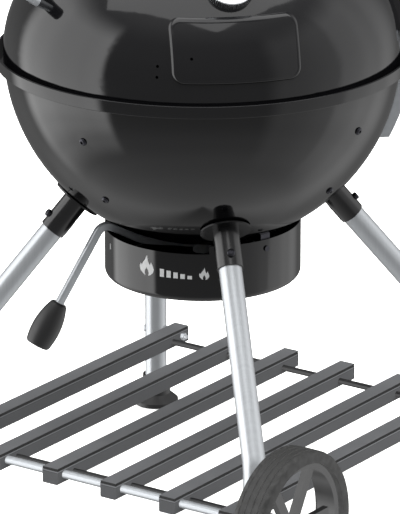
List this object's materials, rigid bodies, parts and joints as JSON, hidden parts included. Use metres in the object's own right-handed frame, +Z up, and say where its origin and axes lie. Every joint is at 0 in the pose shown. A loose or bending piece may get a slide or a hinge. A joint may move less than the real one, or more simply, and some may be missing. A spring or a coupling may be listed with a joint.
{
  "type": "kettle charcoal grill",
  "caption": "Round kettle charcoal grill on bent tube legs with a hinged domed lid, slatted shelf, wheels, ash catcher and a lever that turns its sweeper.",
  "frame": {"origin": "on the floor, in the middle of the outline in X and Y; the bowl's axis stands 40.5 mm along +X from it", "axes": "+Z up; the shelf slats run along X, the wheels are at -X, and the axle runs along Y"},
  "size_m": [0.7084, 0.7764, 0.8873],
  "materials": {
    "black_enamel": "gloss fired enamel",
    "bare_aluminium": "drawn tube, satin",
    "black_plastic": "moulded, fine grain",
    "tyre_rubber": "solid rubber",
    "grey_paint": "satin powder coat",
    "dark_paint": "satin powder coat",
    "plated_steel": "bright plating",
    "sheet_steel": "bare sheet",
    "dial_white": "printed dial",
    "needle_red": "painted needle",
    "dial_glass": "flat clear glass"
  },
  "bodies": {
    "stand": {"bowl": "black_enamel", "leg_back": "bare_aluminium", "leg_left": "bare_aluminium", "leg_front": "bare_aluminium", "leg_right": "bare_aluminium", "leg_socket_back": "black_plastic", "leg_socket_left": "black_plastic", "leg_socket_front": "black_plastic", "leg_socket_right": "black_plastic", "foot_back": "black_plastic", "foot_right": "black_plastic", "leg_end_cap_front": "black_plastic", "leg_end_cap_left": "black_plastic", "axle_caps": "black_plastic", "slat_1": "grey_paint", "slat_2": "grey_paint", "slat_3": "grey_paint", "slat_4": "grey_paint", "slat_5": "grey_paint", "slat_6": "grey_paint", "slat_caps": "grey_paint", "crossbar_left": "dark_paint", "crossbar_right": "dark_paint", "bracket_bolts": "plated_steel", "socket_bolts": "plated_steel", "shelf_bolts": "plated_steel", "shelf_spacers": "plated_steel", "axle": "plated_steel", "hinge_pin": "plated_steel", "cooking_grate_brackets": "sheet_steel", "charcoal_grate_brackets": "sheet_steel", "catcher_clips": "sheet_steel", "hinge_bracket": "sheet_steel"},
    "lid": {"lid": "black_enamel", "lid_handle_posts": "plated_steel", "lid_handle_grip": "black_plastic", "damper_pin": "plated_steel", "thermometer_case": "sheet_steel", "thermometer_dial": "dial_white", "thermometer_glass": "dial_glass", "thermometer_stem": "plated_steel", "thermometer_nut": "plated_steel", "hinge_strap": "black_enamel"},
    "damper": {"damper": "bare_aluminium", "damper_knob": "black_plastic"},
    "needle": {"thermometer_needle": "needle_red"},
    "sweeper": {"sweeper_blades": "sheet_steel", "sweeper_shaft": "sheet_steel", "lever": "sheet_steel", "lever_grip": "black_plastic"},
    "ash_catcher": {"ash_catcher": "black_enamel", "catcher_studs": "plated_steel"},
    "cooking_grate": {"cooking_grate": "plated_steel"},
    "charcoal_grate": {"charcoal_grate": "plated_steel"},
    "wheel_front": {"wheel_front": "black_plastic", "tyre_front": "tyre_rubber"},
    "wheel_left": {"wheel_left": "black_plastic", "tyre_left": "tyre_rubber"}
  },
  "joints": [
    {"name": "lid_hinge", "type": "hinge", "parent": "stand", "child": "lid", "pos_m": [0.25688, -0.21638, 0.679], "axis": [0.7071, 0.7071, 0], "range_deg": [0, 100]},
    {"name": "damper_turn", "type": "hinge", "parent": "lid", "child": "damper", "pos_m": [0.0405, 0, 0.8713], "axis": [0, 0, 1], "range_deg": [0, 60]},
    {"name": "needle_turn", "type": "hinge", "parent": "lid", "child": "needle", "pos_m": [-0.10574, -0.14624, 0.80763], "axis": [0.447, 0.447, -0.7748], "range_deg": [0, 270]},
    {"name": "sweeper_turn", "type": "hinge", "parent": "stand", "child": "sweeper", "pos_m": [0.0405, 0, 0.39], "axis": [0, 0, 1], "range_deg": [0, 70]},
    {"name": "catcher_drop", "type": "slide", "parent": "stand", "child": "ash_catcher", "axis": [0, 0, 1], "range_m": [-0.12, 0]},
    {"name": "cooking_grate_lift", "type": "slide", "parent": "stand", "child": "cooking_grate", "axis": [0, 0, 1], "range_m": [0, 0.09]},
    {"name": "charcoal_grate_lift", "type": "slide", "parent": "stand", "child": "charcoal_grate", "axis": [0, 0, 1], "range_m": [0, 0.08]},
    {"name": "wheel_front_spin", "type": "hinge", "parent": "stand", "child": "wheel_front", "pos_m": [-0.24022, -0.33722, 0.114], "axis": [0, 1, 0], "continuous": true},
    {"name": "wheel_left_spin", "type": "hinge", "parent": "stand", "child": "wheel_left", "pos_m": [-0.24022, 0.33722, 0.114], "axis": [0, 1, 0], "continuous": true}
  ]
}
